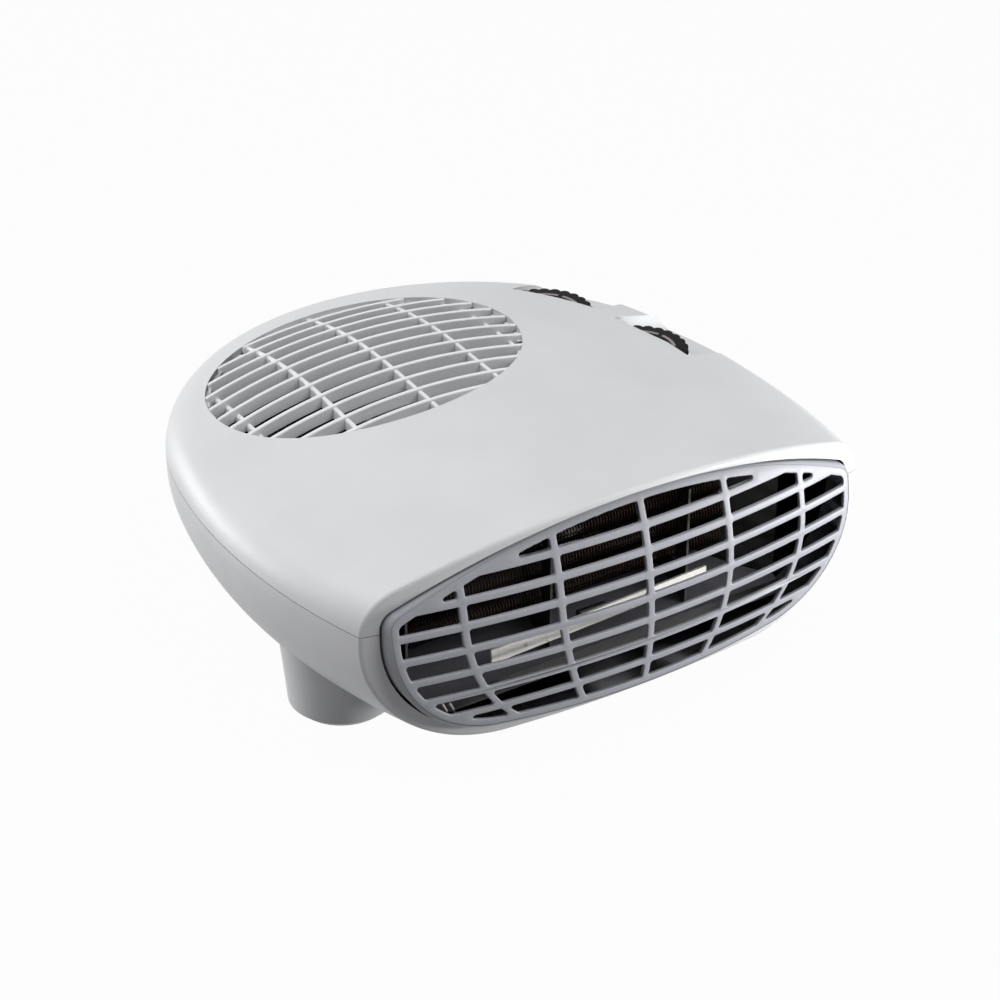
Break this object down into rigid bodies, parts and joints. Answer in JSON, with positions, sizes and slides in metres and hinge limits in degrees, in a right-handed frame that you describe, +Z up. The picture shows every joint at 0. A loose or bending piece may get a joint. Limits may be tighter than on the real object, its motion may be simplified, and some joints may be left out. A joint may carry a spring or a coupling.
{
  "type": "portable fan heater",
  "caption": "Low rounded fan heater with a slatted oval air inlet on top, a bowed grille across the front, edge thumbwheels and short round feet.",
  "frame": {"origin": "middle of the bounding box's base, on the surface that the feet stand on", "axes": "+Z up, -Y towards the outlet, +X towards the thumbwheels"},
  "size_m": [0.2494, 0.2516, 0.1016],
  "materials": {
    "housing_plastic": "pale grey satin moulded plastic",
    "grille_paint": "mid grey metallic-look moulded plastic",
    "wheel_plastic": "black moulded plastic",
    "control_plastic": "dark moulded plastic",
    "sheet_steel": "zinc-plated sheet steel",
    "fastener_steel": "zinc-plated screws",
    "lamination": "laminated motor steel",
    "copper_winding": "enamelled copper winding",
    "fan_plastic": "black moulded plastic",
    "duct_plastic": "black heat-resistant plastic",
    "mica": "cream mica board",
    "resistance_wire": "oxidised resistance wire",
    "rubber": "black flexible bush"
  },
  "bodies": {
    "housing": {"upper_housing": "housing_plastic", "lower_housing": "housing_plastic", "outlet_grille": "grille_paint", "inlet_grille": "housing_plastic", "thermostat_body": "control_plastic", "switch_body": "control_plastic", "control_plate": "sheet_steel", "control_screws": "fastener_steel", "housing_screws": "fastener_steel", "fan_deck": "fan_plastic", "deck_screws": "fastener_steel", "motor_stack": "lamination", "motor_winding": "copper_winding", "upper_bearing_bracket": "sheet_steel", "lower_bearing_bracket": "sheet_steel", "motor_bolts": "fastener_steel", "fan_scroll": "duct_plastic", "air_deflector": "sheet_steel", "mica_combs": "mica", "mica_strip": "mica", "heating_coil_low": "resistance_wire", "heating_coil_middle": "resistance_wire", "heating_coil_top": "resistance_wire", "thermal_cutout": "sheet_steel", "thermal_fuse": "sheet_steel", "terminal_block": "control_plastic", "cord_gland": "rubber"},
    "thermostat_control": {"thermostat_wheel": "wheel_plastic", "thermostat_spindle": "sheet_steel"},
    "switch_control": {"switch_wheel": "wheel_plastic", "switch_spindle": "sheet_steel"},
    "fan": {"fan_impeller": "fan_plastic", "motor_shaft": "sheet_steel", "motor_rotor": "lamination"}
  },
  "joints": [
    {"name": "thermostat_turn", "type": "hinge", "parent": "housing", "child": "thermostat_control", "pos_m": [0.0647, 0.0436, 0.0859], "axis": [0, 0, 1], "range_deg": [-135, 135]},
    {"name": "switch_turn", "type": "hinge", "parent": "housing", "child": "switch_control", "pos_m": [0.0802, -0.0034, 0.0834], "axis": [0, 0, 1], "range_deg": [0, 135]},
    {"name": "fan_spin", "type": "hinge", "parent": "housing", "child": "fan", "pos_m": [-0.029, 0.034, 0.066], "axis": [0, 0, 1], "continuous": true}
  ]
}
